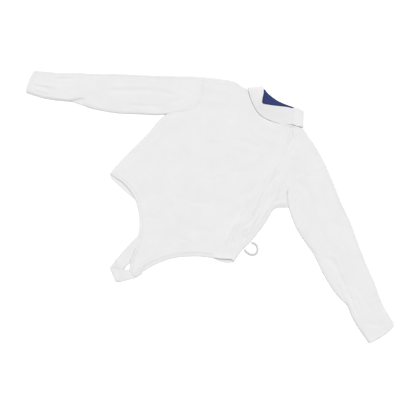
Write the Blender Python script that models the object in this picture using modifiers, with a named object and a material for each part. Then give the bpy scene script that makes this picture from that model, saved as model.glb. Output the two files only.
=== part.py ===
"""Fencing jacket laid out flat on its back, its front side up.

Metres, +Z up. X runs towards the wearer's left, Y from hem to collar. The origin is at the
middle of the outline, on the surface that the jacket lies on.

The cut: a wide front panel that ends in a crotch point, a narrow side front that closes under
it, one back panel, two sleeves sewn as tubes, a stand collar with a coloured lining in its
back half, a zip tape under the closing edge, a crotch strap folded once, and a small elastic
loop in the side seam. The panels lie on each other: the back panel on the surface, the front
pieces over it.
"""
import math

import bmesh
import bpy
from mathutils import Vector

# ---------------------------------------------------------------- driving sizes, in millimetres
MM = 0.001
CLOTH = 1.6            # wall of the body and sleeves: two layers of heavy cotton twill
COLLAR_WALL = 2.4      # the collar has a stiffener between its layers
LINING_WALL = 1.0      # one layer
TAPE_WALL = 1.2        # zip tape
STRAP_WALL = 1.6       # folded and stitched cotton
SEAM = 0.3             # space left between pieces that are sewn edge to edge or lie on each other
FRONT_LIFT = 2.7       # how much further the front pieces stand off the back inside their edges
SLEEVE_HEIGHT = 6.4    # a sleeve lying flat, over its two walls and the air between them
SLEEVE_ROLL = 5.0      # how far in from its edge a sleeve reaches that height
# A rolled edge: distance in from it as a share of the roll, share of the half height there
ROLL_SHAPE = ((0.0, 0.0), (0.10, 0.45), (0.38, 0.80))
ARMHOLE_REACH = 0.36   # share of a sleeve over which its sections straighten out
ACROSS = (0.1, 0.2, 0.3, 0.4, 0.5, 0.6, 0.7, 0.8, 0.9)   # places of a sleeve's knots across it
UNDERLAP = 6.0         # the side front reaches this far under the front's closing edge
UNDERLAP_GAP = 0.05     # more room under the side front, so that its tape lies clear
ZIP_TAPE_WIDTH = 26.0
ZIP_TOP = 350.0        # the tape's two ends, in y
ZIP_BOTTOM = -108.0
NECK_LIFT = 1.0        # rise of the front pieces over the collar's back half at the neck
FRONT_SLOPE = 22.0     # how far in from its loose edges the front reaches its full lift
SIDE_SLOPE = 18.0      # the same for the side front
CLOSING_SLOPE = 14.0   # how far from the closing edge the side front reaches it
OVER_TAPE = 0.8        # share of its lift that the front keeps over the underlap and the tape
TAPE_REACH = 34.0      # how far from the closing edge the front keeps that, and where it ends
TAPE_FADE = 12.0
POINT_DROP = 1.3       # how much lower the front lies past the back's hem, on the surface
ELASTIC = 7.0          # thickness of the round elastic in the side loop
HEIGHT_ON_BACK = CLOTH + SEAM

# ------------------------------------------------- landmarks of the laid-out jacket: (x, y), mm
SHOULDER_TIP_RIGHT = (-285, 321)
NECK_RIGHT = (-138, 380)
UNDERARM_RIGHT = (-313, 137)
FRONT_HEM_CORNER_RIGHT = (-345, -149)
BACK_HEM_CORNER_RIGHT = (-336, -157)
SHOULDER_TIP_LEFT = (250, 327)
NECK_LEFT = (103, 386)
UNDERARM_LEFT = (227, 134)
HEM_CORNER_LEFT = (188, -135)
CLOSURE_TOP = (65, 372)
CLOSURE_HEM = (176, -131)
CROTCH_LEFT = (-88, -377)        # the front's crotch point, on the strap's two edges
CROTCH_RIGHT = (-56, -385)
LOOP_LINE = [(197.5, -42.0), (209, -38.8), (220, -40.8), (229.5, -50), (233, -61),
             (229, -71.5), (219, -78.0), (207, -79.3), (192.5, -77.0)]   # ends in the side seam

# Runs between the landmarks, each from its first landmark to its second
SHOULDER_RIGHT = [SHOULDER_TIP_RIGHT, (-240, 347), (-203, 368), (-170, 377), (-152, 373),
                  NECK_RIGHT]
SHOULDER_LEFT = [NECK_LEFT, (135, 375), (169, 364), (212, 346), SHOULDER_TIP_LEFT]
ARMHOLE_RIGHT = [SHOULDER_TIP_RIGHT, (-256, 272), (-242, 236), (-249, 203), (-280, 172),
                 UNDERARM_RIGHT]
ARMHOLE_LEFT = [SHOULDER_TIP_LEFT, (222, 280), (200, 240), (188, 205), (191, 174),
                UNDERARM_LEFT]
SIDE_RIGHT = [UNDERARM_RIGHT, (-322, 92), (-321, 62), (-329, 0), (-341, -87),
              FRONT_HEM_CORNER_RIGHT]
SIDE_LEFT = [UNDERARM_LEFT, (206, 116.5), (190, 101), (189, 86), (195, 46), (194, -36),
             (187, -86), HEM_CORNER_LEFT]
FRONT_NECK = [NECK_RIGHT, (-112, 361), (-69, 338), (-39, 332), (-6, 338), (23, 348), (44, 362),
              CLOSURE_TOP]
SIDE_FRONT_NECK = [(72, 375), (84, 378.5), NECK_LEFT]
BACK_NECK = [NECK_RIGHT, (-105, 364), (-60, 358), (-15, 356), (30, 358), (72, 367), NECK_LEFT]
CLOSURE = [CLOSURE_TOP, (80, 357), (92, 322), (104, 271), (114, 222), (130, 150), (148, 42),
           (144, -7), (151, -66), CLOSURE_HEM]
FRONT_HEM_SIDE = [FRONT_HEM_CORNER_RIGHT, (-310, -146), (-280, -146), (-250, -154),
                  (-215, -168), (-176, -203)]
FRONT_POINT_SIDE = [(-176, -203), (-153, -229), (-131, -269), (-117, -298), (-106, -336),
                    (-101, -355), CROTCH_LEFT]
FRONT_POINT_END = [CROTCH_LEFT, (-74, -383), CROTCH_RIGHT]
FRONT_POINT_CLOSING = [CROTCH_RIGHT, (-50, -362), (-36, -327), (-19, -293), (18, -241),
                       (86, -186), (132, -161), CLOSURE_HEM]
BACK_SIDE_RIGHT = SIDE_RIGHT[:-1] + [(-341, -130), BACK_HEM_CORNER_RIGHT]
BACK_HEM = [BACK_HEM_CORNER_RIGHT, (-287, -163), (-215, -168), (-100, -169), (20, -168),
            (130, -165), (157, -159), (180, -147), HEM_CORNER_LEFT]

# Edges of the sleeves from armhole to cuff: along the shoulder's fold, and along the underarm
SLEEVE_TOP_RIGHT = [SHOULDER_TIP_RIGHT, (-318, 300), (-408, 234), (-501, 171), (-556, 133),
                    (-591, 104), (-641, 73), (-695, 32), (-771, -15)]
SLEEVE_UNDER_RIGHT = [UNDERARM_RIGHT, (-341, 113), (-399, 74), (-463, 31), (-541, -6),
                      (-599, -24), (-675, -69), (-748, -97)]
SLEEVE_TOP_LEFT = [SHOULDER_TIP_LEFT, (305, 295), (383, 248), (430, 225), (512, 171),
                   (590, 124), (648, 93), (670, 72), (690, 62), (771, 29)]
SLEEVE_UNDER_LEFT = [UNDERARM_LEFT, (283, 97), (335, 75), (405, 52), (459, 23), (543, -10),
                     (599, -17), (645, -46), (735, -77)]
CUFF_BOW = 8.0         # how far a cuff's end stands out past its two corners
CUFF_START = 0.8       # share of a sleeve's length after which its sections begin to bow
CUFF_SHAPE = 0.6       # below 1, the cuff's end is straighter in its middle

# Folds that stand up from a panel or a sleeve: start x, y, end x, y, half width, height, mm
FRONT_FOLDS = [
    (96, 96, 116, 10, 14, 0.9),        # ridge beside the closing edge
    (126, 40, 122, -60, 12, -0.9),     # hollow at the waist
    (-262, 200, -92, 318, 16, -0.7),   # from underarm to neck
    (-300, -40, -255, -140, 16, 0.8),  # at the right hem
    (-120, -110, -60, -170, 18, 0.8),  # where the crotch point leaves the body
    (30, -90, 92, -140, 16, -0.7),
]
SIDE_FRONT_FOLDS = [
    (152, 150, 160, 40, 10, 0.9),
    (172, 110, 176, -20, 8, -0.8),
    (160, 230, 178, 170, 10, 0.8),
]
SLEEVE_FOLDS_RIGHT = [
    (-420, 150, -300, 215, 18, -0.9),
    (-560, 10, -610, -10, 12, 1.4),    # pinch on the under edge
    (-640, 20, -740, -30, 14, -0.8),
]
SLEEVE_FOLDS_LEFT = [
    (238, 205, 330, 105, 14, -1.0),
    (300, 150, 400, 95, 16, 0.9),
    (520, 40, 640, 0, 12, -1.1),       # along the forearm
    (640, 40, 720, -30, 14, 0.9),
]

# The collar as one band, from its closing edge round to its underlap. Each row is a section:
# x, y, z of the neck seam, then x, y, z of the band's free edge, all on the wall's middle.
COLLAR_SECTIONS = [
    (62.0, 374.0, 8.0, 36.0, 420.0, 10.8),      # closing edge
    (44.0, 363.6, 7.6, 15.0, 412.0, 11.4),
    (23.0, 349.6, 6.6, -6.0, 400.0, 12.0),
    (-6.0, 339.5, 5.8, -26.0, 388.0, 13.0),
    (-39.0, 333.6, 5.6, -46.0, 377.0, 14.2),
    (-69.0, 339.5, 5.6, -64.0, 369.5, 15.0),    # the corner that stands up
    (-94.0, 351.5, 5.6, -74.0, 382.0, 14.0),
    (-112.5, 362.8, 5.4, -83.5, 402.0, 11.0),
    (-128.0, 375.5, 5.2, -92.5, 413.5, 8.0),
    (-135.0, 383.0, 4.9, -97.0, 418.5, 5.6),    # right-hand fold, seen edge on
    (-136.5, 384.5, 3.0, -98.5, 420.0, 3.2),
    (-134.0, 382.3, 1.2, -96.0, 418.0, 1.2),    # start of the half under the neck
    (-105.0, 365.6, 1.2, -72.0, 411.0, 1.2),
    (-60.0, 359.4, 1.2, -45.0, 409.5, 1.2),
    (-15.0, 357.4, 1.2, -18.0, 412.0, 1.2),
    (30.0, 359.4, 1.2, 12.0, 420.0, 1.2),
    (71.0, 368.2, 1.2, 42.0, 430.0, 1.2),
    (96.0, 385.0, 1.2, 62.5, 434.5, 1.2),
    (99.5, 389.5, 3.4, 66.5, 435.0, 3.4),       # left-hand fold
    (96.5, 388.5, 5.7, 63.5, 434.5, 5.9),
    (82.0, 380.0, 5.7, 49.0, 427.0, 6.6),
    (66.0, 375.6, 5.4, 36.0, 417.0, 7.6),       # from here under the closing edge
    (52.0, 370.0, 5.3, 24.0, 411.0, 8.2),
]

LINING_START = (-119.0, 374.0, 1.2, -86.0, 415.5, 1.2)     # the lining's first section
LINING_REACH = 0.99      # share of the band's height that the lining covers

# The crotch strap from the front's point round its fold to the back hem. Each row is a section:
# x, y, z on its outer edge, then x, y, z on its inner edge, all on the wall's middle.
STRAP_SECTIONS = [
    (-78.0, -352.0, 0.8, -42.0, -360.0, 0.8),      # hidden under the front's point
    (-88.0, -376.0, 0.8, -54.0, -388.0, 0.8),
    (-99.0, -383.5, 1.7, -69.0, -406.0, 0.9),
    (-114.0, -394.5, 2.7, -85.0, -424.0, 2.0),
    (-132.0, -402.0, 2.7, -97.0, -433.0, 2.7),
]
STRAP_FOLD = [(-147.0, -410.0), (-103.0, -436.0)]  # the fold's line in plan, outer to inner edge
STRAP_FOLD_GAP = 1.9                               # between the middles of the two layers
STRAP_RETURN = [
    (-147.5, -400.0, 0.8, -104.0, -427.0, 0.8),
    (-147.0, -376.0, 0.8, -106.0, -386.0, 0.8),
    (-145.0, -342.0, 0.8, -100.5, -345.0, 0.8),
    (-137.0, -262.0, 0.8, -94.0, -262.0, 0.8),
    (-134.0, -200.0, 0.8, -91.0, -200.0, 0.8),
    (-133.5, -178.0, 0.8, -90.5, -178.0, 0.8),
    (-133.4, -171.5, 2.75, -90.4, -171.5, 2.75),   # up on to the back panel's hem
    (-133.0, -152.0, 2.75, -90.0, -152.0, 2.75),
]

COLOURS = {                    # linear RGB, roughness
    "white_twill": ((0.80, 0.80, 0.80), 0.85),
    "blue_lining": ((0.05, 0.065, 0.20), 0.80),
    "white_tape": ((0.72, 0.72, 0.72), 0.70),
    "white_elastic": ((0.66, 0.66, 0.66), 0.65),
}


# ------------------------------------------------------------------------------ small geometry
def ease(t):
    """Smooth step from 0 at t = 0 to 1 at t = 1."""
    t = min(max(t, 0.0), 1.0)
    return t * t * (3.0 - 2.0 * t)


def smooth_line(points, steps=8):
    """A Catmull-Rom curve through points of any dimension, as a dense polyline."""
    points = [Vector(p) for p in points]
    ends = [2 * points[0] - points[1]] + points + [2 * points[-1] - points[-2]]
    line = [points[0]]
    for a, b, c, d in zip(ends, ends[1:], ends[2:], ends[3:]):
        for step in range(1, steps + 1):
            t = step / steps
            line.append(0.5 * (2 * b + (c - a) * t + (2 * a - 5 * b + 4 * c - d) * t ** 2
                               + (3 * b - a - 3 * c + d) * t ** 3))
    return line


def spaced(points, count):
    """count + 1 points at equal distances along the smooth curve through points."""
    line = smooth_line(points)
    lengths = [0.0]
    for a, b in zip(line, line[1:]):
        lengths.append(lengths[-1] + (b - a).length)
    found, k = [], 0
    for i in range(count + 1):
        want = lengths[-1] * i / count
        while k < len(line) - 2 and lengths[k + 1] < want:
            k += 1
        t = (want - lengths[k]) / (lengths[k + 1] - lengths[k])
        found.append(line[k].lerp(line[k + 1], min(max(t, 0.0), 1.0)))
    return found


def along_line(line, distance):
    """The point of a polyline at a distance from its start."""
    left = max(distance, 0.0)
    for a, b in zip(line, line[1:]):
        step = (b - a).length
        if left <= step:
            return a.lerp(b, left / step)
        left -= step
    return line[-1]


def length_of(line):
    """Length of a polyline."""
    return sum((b - a).length for a, b in zip(line, line[1:]))


def armhole_knots(armhole):
    """The points of an armhole that the sleeve's first ring and the panels beside it share."""
    line = smooth_line(armhole)
    width = length_of(line)
    distances = [0.0, SLEEVE_ROLL] + [width * share for share in ACROSS] \
        + [width - SLEEVE_ROLL, width]
    return [along_line(line, distance) for distance in distances]


def run(*stretches):
    """Join stretches end to end into one edge: ready knots, or points and how many steps."""
    edge = []
    for stretch in stretches:
        knots = spaced(*stretch) if isinstance(stretch, tuple) else stretch
        edge += knots[1 if edge else 0:]
    return edge


def moved_sideways(line, distance):
    """The line moved to its left, seen along it, by distance."""
    moved = []
    for k, point in enumerate(line):
        along = line[min(k + 1, len(line) - 1)] - line[max(k - 1, 0)]
        moved.append(point + Vector((-along.y, along.x)).normalized() * distance)
    return moved


def distance_to(line, point):
    """Shortest distance in plan from a point to a polyline."""
    best = math.inf
    for a, b in zip(line, line[1:]):
        along = b - a
        t = min(max((point - a).dot(along) / along.length_squared, 0.0), 1.0)
        best = min(best, (point - a - along * t).length)
    return best


def fold_height(folds, point):
    """Sum of the soft ridges (and hollows, where the height is negative) at a point."""
    total = 0.0
    for x0, y0, x1, y1, half_width, height in folds:
        a, b = Vector((x0, y0)), Vector((x1, y1))
        along = b - a
        t = (point - a).dot(along) / along.length_squared
        off = abs((point - a).cross(along.normalized()))
        ends = ease((t + 0.2) / 0.4) * ease((1.2 - t) / 0.4)
        total += height * ends * (1.0 - ease(off / half_width))
    return total


def patch(top, bottom, left, right):
    """Grid of plan points between four edges: top and bottom run in x, left and right down."""
    across, down = len(top) - 1, len(left) - 1
    rows = []
    for j in range(down + 1):
        v = j / down
        row = []
        for i in range(across + 1):
            u = i / across
            ruled = top[i] * (1 - v) + bottom[i] * v + left[j] * (1 - u) + right[j] * u
            corners = ((top[0] * (1 - u) + top[-1] * u) * (1 - v)
                       + (bottom[0] * (1 - u) + bottom[-1] * u) * v)
            row.append(ruled - corners)
        rows.append(row)
    return rows


# ------------------------------------------------------------------------- making the pieces
def finish_object(name, bm, slot):
    """Turn a bmesh in millimetres into a named object in metres, with its material."""
    bmesh.ops.scale(bm, vec=(MM, MM, MM), verts=bm.verts)
    bmesh.ops.recalc_face_normals(bm, faces=bm.faces)
    mesh = bpy.data.meshes.new(name)
    bm.to_mesh(mesh)
    bm.free()
    piece = bpy.data.objects.new(name, mesh)
    bpy.data.collections["fencing_jacket"].objects.link(piece)
    mesh.materials.append(bpy.data.materials[slot])
    mesh.shade_smooth()
    mesh.set_sharp_from_angle(angle=math.radians(40))
    return piece


def skin(bm, rings, closed=False):
    """Quads between successive rows of vertices; closed joins each row's end to its start."""
    for lower, upper in zip(rings, rings[1:]):
        last = len(lower) if closed else len(lower) - 1
        for i in range(last):
            k = (i + 1) % len(lower)
            bm.faces.new((lower[i], lower[k], upper[k], upper[i]))


def cut_panel(name, rows, height, wall, slot):
    """A flat-laid panel: a sheet over the plan grid at height(point), extruded up by its wall."""
    bm = bmesh.new()
    skin(bm, [[bm.verts.new((p.x, p.y, height(p))) for p in row] for row in rows])
    raised = bmesh.ops.extrude_face_region(bm, geom=bm.faces[:])["geom"]
    top = [item for item in raised if isinstance(item, bmesh.types.BMVert)]
    bmesh.ops.translate(bm, verts=top, vec=(0.0, 0.0, wall))
    return finish_object(name, bm, slot)


def band(name, sections, columns, wall, slot):
    """A ribbon through sections given by their two edges, with an even wall about its middle.

    Across each section the height leaves the first edge level and rises towards the second.
    """
    bm = bmesh.new()
    rows = []
    for section in sections:
        first, second = Vector(section[:3]), Vector(section[3:])
        row = []
        for i in range(columns + 1):
            t = i / columns
            place = first.lerp(second, t)
            place.z = first.z + (second.z - first.z) * (0.35 * t + 0.65 * ease(t))
            row.append(bm.verts.new(place))
        rows.append(row)
    skin(bm, rows)
    piece = finish_object(name, bm, slot)
    walls = piece.modifiers.new("wall", "SOLIDIFY")
    walls.thickness = wall * MM
    walls.offset = 0.0
    walls.use_even_offset = True
    return piece


def knot_shares(width):
    """Places of a section's knots across a sleeve, as shares of its width."""
    return [0.0, SLEEVE_ROLL / width, *ACROSS, 1.0 - SLEEVE_ROLL / width, 1.0]


def sleeve_section(chord, inset, folds):
    """One closed ring over a sleeve's section line; inset moves it in by the wall."""
    half = SLEEVE_HEIGHT / 2
    inward = [(inset + (SLEEVE_ROLL - inset) * d) / SLEEVE_ROLL for d, _ in ROLL_SHAPE]
    first = [(chord[0].lerp(chord[1], d), share) for d, (_, share) in zip(inward, ROLL_SHAPE)]
    last = [(chord[-1].lerp(chord[-2], d), share) for d, (_, share) in zip(inward, ROLL_SHAPE)]
    ring = first + [(point, 1.0) for point in chord[1:-1]] + last[::-1]
    ring += [(point, -share) for point, share in last[1:]]
    ring += [(point, -1.0) for point in chord[-2:0:-1]]
    ring += [(point, -share) for point, share in first[:0:-1]]
    placed = []
    for point, share in ring:
        lift = fold_height(folds, point) * max(share, 0.0)
        placed.append(Vector((point.x, point.y, half + (half - inset) * share + lift)))
    return placed


def sleeve(name, top_edge, under_edge, armhole, folds, stations=15, slot="white_twill"):
    """A sleeve sewn as a tube and laid flat: sections turn from the armhole to the cuff."""
    top, under = spaced(top_edge, stations), spaced(under_edge, stations)
    shares = knot_shares((under[0] - top[0]).length)
    bow = [knot - top[0].lerp(under[0], share) for knot, share in zip(armhole, shares)]
    outer, inner = [], []
    bm = bmesh.new()
    for k in range(stations + 1):
        keep = (1.0 - min(k / stations / ARMHOLE_REACH, 1.0)) ** 2
        shares = knot_shares((under[k] - top[k]).length)
        chord = [top[k].lerp(under[k], share) + lean * keep for share, lean in zip(shares, bow)]
        out = (top[k] - top[k - 1] + under[k] - under[k - 1]).normalized() if k else Vector((0, 0))
        out *= CUFF_BOW * ease((k / stations - CUFF_START) / (1.0 - CUFF_START))
        chord = [knot + out * math.sin(math.pi * share) ** CUFF_SHAPE
                 for knot, share in zip(chord, shares)]
        for rings, inset in ((outer, 0.0), (inner, CLOTH)):
            rings.append([bm.verts.new(p) for p in sleeve_section(chord, inset, folds)])
    skin(bm, outer, closed=True)
    skin(bm, inner, closed=True)
    for end in (0, -1):
        skin(bm, [outer[end], inner[end]], closed=True)
    return finish_object(name, bm, slot)


# ----------------------------------------------------------------------------- the pieces
def make_back():
    """The back panel, flat on the surface."""
    rows = patch(
        top=run((SHOULDER_RIGHT, 8), (BACK_NECK, 14), (SHOULDER_LEFT, 8)),
        bottom=spaced(BACK_HEM, 30),
        left=run(armhole_knots(ARMHOLE_RIGHT),
                 (BACK_SIDE_RIGHT, 12)),
        right=run(armhole_knots(ARMHOLE_LEFT), (SIDE_LEFT, 12)))
    cut_panel("back_panel", rows, lambda point: 0.0, CLOTH, "white_twill")


def neck_lift(point):
    """Rise of the front pieces beside the closing edge's top, over the collar's back half."""
    return NECK_LIFT * ease((point.y - 340.0) / 14.0) * ease((point.x - 20.0) / 25.0)


def front_height(point):
    """Underside of the front panel: low on its side, shoulder and hem, clear of the underlap."""
    loose = [smooth_line(edge) for edge in
             (SIDE_RIGHT, SHOULDER_RIGHT, FRONT_HEM_SIDE, FRONT_POINT_SIDE, FRONT_POINT_END,
              FRONT_POINT_CLOSING)]
    inside = ease(min(distance_to(edge, point) for edge in loose) / FRONT_SLOPE)
    underlap = 1.0 - ease((distance_to(smooth_line(CLOSURE), point) - TAPE_REACH) / TAPE_FADE)
    lifted = max(inside, OVER_TAPE * underlap)
    # past the back's hem, towards the closing side, down to where the strap lies beneath
    past_hem = ease((-172.0 - point.y) / 25.0) * ease((point.x + 75.0) / 30.0)
    drop = POINT_DROP * past_hem * (1.0 - ease((-325.0 - point.y) / 15.0))
    return (HEIGHT_ON_BACK - drop + FRONT_LIFT * lifted + neck_lift(point)
            + fold_height(FRONT_FOLDS, point) * inside)


def make_front():
    """The wide front panel with its crotch point."""
    rows = patch(
        top=run((SHOULDER_RIGHT, 8), (FRONT_NECK, 18)),
        bottom=run((FRONT_HEM_SIDE, 7), (FRONT_POINT_SIDE, 6), (FRONT_POINT_END, 3),
                   (FRONT_POINT_CLOSING, 10)),
        left=run(armhole_knots(ARMHOLE_RIGHT), (SIDE_RIGHT, 18)),
        right=spaced(CLOSURE, 30))
    cut_panel("front_panel", rows, front_height, CLOTH, "white_twill")


def side_front_height(point):
    """Underside of the side front: flat under the closing edge, low on the side and shoulder."""
    closing = smooth_line(CLOSURE)
    loose = [smooth_line(edge) for edge in (SIDE_LEFT, SHOULDER_LEFT)]
    inside = ease(min(distance_to(edge, point) for edge in loose) / SIDE_SLOPE)
    past_closure = 0.0
    if right_of(closing, point):
        past_closure = ease((distance_to(closing, point) - 1.0) / CLOSING_SLOPE)
    lift = (FRONT_LIFT + fold_height(SIDE_FRONT_FOLDS, point)) * inside * past_closure
    return HEIGHT_ON_BACK + UNDERLAP_GAP + lift + neck_lift(point)


def right_of(line, point):
    """True where a point is on the +x side of a line that runs down."""
    nearest = min(range(len(line) - 1),
                  key=lambda k: distance_to([line[k], line[k + 1]], point))
    along = line[nearest + 1] - line[nearest]
    return along.cross(point - line[nearest]) > 0.0


def make_side_front():
    """The narrow side front; its closing edge lies under the front panel."""
    under_edge = moved_sideways(spaced(CLOSURE, 30), -UNDERLAP)
    under_edge[0] = Vector(CLOSURE_TOP) + Vector((-3.5, -8.0))
    under_edge[-1] = Vector(CLOSURE_HEM) + Vector((-5.0, 3.0))
    rows = patch(
        top=run(([under_edge[0]] + SIDE_FRONT_NECK, 5), (SHOULDER_LEFT, 7)),
        bottom=spaced([under_edge[-1], (180, -132), HEM_CORNER_LEFT], 12),
        left=under_edge,
        right=run(armhole_knots(ARMHOLE_LEFT), (SIDE_LEFT, 18)))
    cut_panel("side_front_panel", rows, side_front_height, CLOTH, "white_twill")


def make_zip_tape():
    """The zip tape on the side front's edge, hidden between the front and the back."""
    line = [p for p in spaced(CLOSURE, 30) if ZIP_BOTTOM < p.y < ZIP_TOP]
    near = moved_sideways(line, -UNDERLAP - SEAM)
    far = moved_sideways(line, -UNDERLAP - SEAM - ZIP_TAPE_WIDTH)
    rows = [[a, a.lerp(b, 0.5), b] for a, b in zip(near, far)]
    height = HEIGHT_ON_BACK + UNDERLAP_GAP
    cut_panel("zip_tape", rows, lambda point: height, TAPE_WALL, "white_tape")


def make_sleeves():
    """Both sleeves, one seam gap off the body's armholes."""
    right = moved_sideways(armhole_knots(ARMHOLE_RIGHT), -SEAM)
    left = moved_sideways(armhole_knots(ARMHOLE_LEFT), SEAM)
    sleeve("right_sleeve", [right[0]] + SLEEVE_TOP_RIGHT[1:],
           [right[-1]] + SLEEVE_UNDER_RIGHT[1:], right, SLEEVE_FOLDS_RIGHT)
    sleeve("left_sleeve", [left[0]] + SLEEVE_TOP_LEFT[1:],
           [left[-1]] + SLEEVE_UNDER_LEFT[1:], left, SLEEVE_FOLDS_LEFT)


def make_collar():
    """The stand collar: a stiff band that opens in front and lies folded at both sides."""
    sections = smooth_line(COLLAR_SECTIONS, steps=2)
    for section in sections:
        for height in (2, 5):
            section[height] = max(section[height], COLLAR_WALL / 2)
    band("collar", sections, 5, COLLAR_WALL, "white_twill")


def make_collar_lining():
    """The coloured lining on the inner face of the collar's back half."""
    half = [LINING_START] + COLLAR_SECTIONS[12:17]
    seam = spaced([section[:2] for section in half], 18)
    edge = spaced([section[3:5] for section in half], 18)
    columns = []
    for k, (a, b) in enumerate(zip(seam, edge)):
        start = 0.03 + 0.27 * ease(k / 18 * 4 - 3)      # clear of the side front's neck
        span = LINING_REACH - start
        columns.append([a.lerp(b, start + span * t) for t in (0, 0.25, 0.5, 0.75, 1)])
    height = COLLAR_WALL + SEAM
    cut_panel("collar_lining", columns, lambda point: height, LINING_WALL, "blue_lining")


def make_strap():
    """The crotch strap: out of the front's point, folded over, and back up to the back hem."""
    outer, inner = (Vector(p) for p in STRAP_FOLD)
    outward = Vector((inner - outer).to_tuple()).orthogonal().normalized()
    if outward.y > 0:
        outward = -outward
    radius = STRAP_FOLD_GAP / 2
    middle = STRAP_WALL / 2 + radius
    fold = []
    for step in range(5):
        turn = math.pi * step / 4
        out = outward * radius * math.sin(turn)
        z = middle + radius * math.cos(turn)
        fold.append((*(outer + out), z, *(inner + out), z))
    band("crotch_strap", STRAP_SECTIONS + fold + STRAP_RETURN, 4, STRAP_WALL, "white_twill")


def make_elastic_loop():
    """A round elastic in a small loop, both ends sewn into the left side seam."""
    curve = bpy.data.curves.new("elastic_loop", "CURVE")
    curve.dimensions = "3D"
    curve.bevel_depth = ELASTIC / 2 * MM
    curve.bevel_resolution = 2
    curve.use_fill_caps = True
    points = smooth_line(LOOP_LINE, steps=3)
    spline = curve.splines.new("POLY")
    spline.points.add(len(points) - 1)
    for knot, (x, y) in zip(spline.points, points):
        knot.co = (x * MM, y * MM, ELASTIC / 2 * MM, 1.0)
    curve.materials.append(bpy.data.materials["white_elastic"])
    loop = bpy.data.objects.new("elastic_loop", curve)
    bpy.data.collections["fencing_jacket"].objects.link(loop)


def make_materials():
    for name, (colour, roughness) in COLOURS.items():
        material = bpy.data.materials.new(name)
        material.use_nodes = True
        shader = material.node_tree.nodes["Principled BSDF"]
        shader.inputs["Base Color"].default_value = (*colour, 1.0)
        shader.inputs["Roughness"].default_value = roughness
        shader.inputs["Metallic"].default_value = 0.0


def main():
    for old in list(bpy.data.objects):
        bpy.data.objects.remove(old, do_unlink=True)
    collection = bpy.data.collections.new("fencing_jacket")
    bpy.context.scene.collection.children.link(collection)
    make_materials()
    make_back()
    make_front()
    make_side_front()
    make_zip_tape()
    make_sleeves()
    make_collar()
    make_collar_lining()
    make_strap()
    make_elastic_loop()


main()
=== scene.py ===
"""Looks of a fencing jacket of heavy white cotton, laid flat on its back on a pale surface.

The wearer's right sleeve points to -X and the collar to +Y. Every cloth piece is a thin shell
on its CAD solid's form, with its creases, hems, seams and stitching laid on. Plain
lengths below are millimetres, and the finished meshes are metres.
"""
import math

import bmesh
import bpy
import numpy as np
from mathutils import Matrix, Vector
from mathutils.bvhtree import BVHTree
from mathutils.geometry import delaunay_2d_cdt


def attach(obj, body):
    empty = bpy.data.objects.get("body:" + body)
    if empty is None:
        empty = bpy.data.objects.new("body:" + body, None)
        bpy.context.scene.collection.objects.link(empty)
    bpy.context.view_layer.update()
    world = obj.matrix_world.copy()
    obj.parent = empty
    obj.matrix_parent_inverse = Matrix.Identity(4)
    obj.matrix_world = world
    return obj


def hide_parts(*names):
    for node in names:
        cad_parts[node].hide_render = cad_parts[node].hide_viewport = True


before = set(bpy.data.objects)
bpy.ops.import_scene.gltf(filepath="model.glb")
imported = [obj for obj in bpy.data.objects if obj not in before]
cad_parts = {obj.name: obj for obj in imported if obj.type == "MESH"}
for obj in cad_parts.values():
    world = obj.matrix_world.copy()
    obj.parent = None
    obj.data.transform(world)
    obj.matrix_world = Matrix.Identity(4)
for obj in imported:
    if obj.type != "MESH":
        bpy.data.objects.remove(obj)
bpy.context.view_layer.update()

MM = 0.001
UP = Vector((0.0, 0.0, 1.0))
PITCH = 3.6  # grid of the cloth
WALL = 1.6  # body and sleeves
MERGE = 0.002  # points of a solid nearer than this are one
CORNER = 35.0  # degrees: an outline that turns more than this keeps its corner
STITCH = 3.4  # from one stitch of the topstitching to the next
STITCH_LENGTH, STITCH_WIDTH = 2.5, 0.7
STEEPEST = 1.5  # no stitch spans a higher step in the cloth than this


# ---- shape of the cloth
def ease(t):
    """Smooth step from 0 to 1, for a number or an array."""
    t = np.clip(t, 0.0, 1.0)
    return t * t * (3.0 - 2.0 * t)


def rounded(t):
    """A quarter circle's rise from 0 at t = 0 to 1 at t = 1."""
    t = np.clip(t, 0.0, 1.0)
    return np.sqrt(1.0 - (1.0 - t) ** 2)


def smooth_line(points, steps=6):
    """A Catmull-Rom curve through points of any dimension, as an array."""
    p = np.array(points, float)
    p = np.vstack([2 * p[0] - p[1], p, 2 * p[-1] - p[-2]])
    line = [p[1]]
    for a, b, c, d in zip(p, p[1:], p[2:], p[3:]):
        for t in np.arange(1, steps + 1) / steps:
            line.append(0.5 * (2 * b + (c - a) * t + (2 * a - 5 * b + 4 * c - d) * t ** 2
                               + (3 * b - a - 3 * c + d) * t ** 3))
    return np.array(line)


def steps_of(line):
    """Length of each step of a polyline."""
    return np.linalg.norm(np.diff(line, axis=0), axis=1)


def at_share(line, shares):
    """Points of a polyline at shares of its length."""
    line = np.asarray(line, float)
    gone = np.concatenate([[0.0], np.cumsum(steps_of(line))])
    want = np.asarray(shares) * gone[-1]
    return np.stack([np.interp(want, gone, column) for column in line.T], axis=1)


def spaced(line, count):
    """count + 1 points at equal distances along a polyline."""
    return at_share(line, np.linspace(0.0, 1.0, count + 1))


def beside(line, distance):
    """The line moved to its left by a distance."""
    along = np.gradient(line, axis=0)
    left = np.stack([-along[:, 1], along[:, 0]], 1) / np.linalg.norm(along, axis=1)[:, None]
    return line + left * distance


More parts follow.
